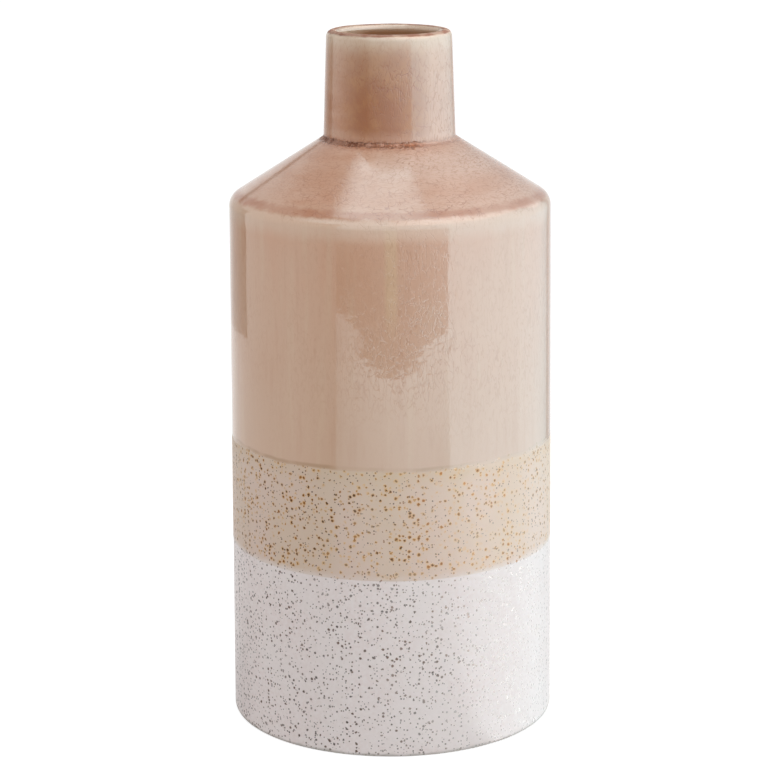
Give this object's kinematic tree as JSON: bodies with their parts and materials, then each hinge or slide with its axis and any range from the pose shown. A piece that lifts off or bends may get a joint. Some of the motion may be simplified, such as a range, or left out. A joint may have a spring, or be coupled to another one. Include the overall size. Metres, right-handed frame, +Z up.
{
  "type": "bottle vase",
  "caption": "Tall stoneware bottle vase: near-straight round body, conical shoulder, short collar neck; crackled blush glaze lapped over a speckled white one.",
  "frame": {"origin": "centre of the foot, on the surface that the vase stands on", "axes": "+Z up the vase's axis, towards the mouth; the vase is round, so +X and +Y are free"},
  "size_m": [0.1418, 0.1418, 0.3],
  "materials": {
    "clay_body": "bare fired stoneware, matt and slightly gritty",
    "liner_glaze": "glossy transparent liner over the clay",
    "speckled_glaze": "satin white with dark iron specks",
    "blush_glaze": "glossy translucent blush with a fine crackle"
  },
  "bodies": {
    "root": {"foot_ring": "clay_body", "base_slab": "clay_body", "body_wall": "clay_body", "shoulder": "clay_body", "neck_collar": "clay_body", "liner_glaze": "liner_glaze", "speckled_glaze": "speckled_glaze", "blush_glaze": "blush_glaze"}
  },
  "joints": []
}
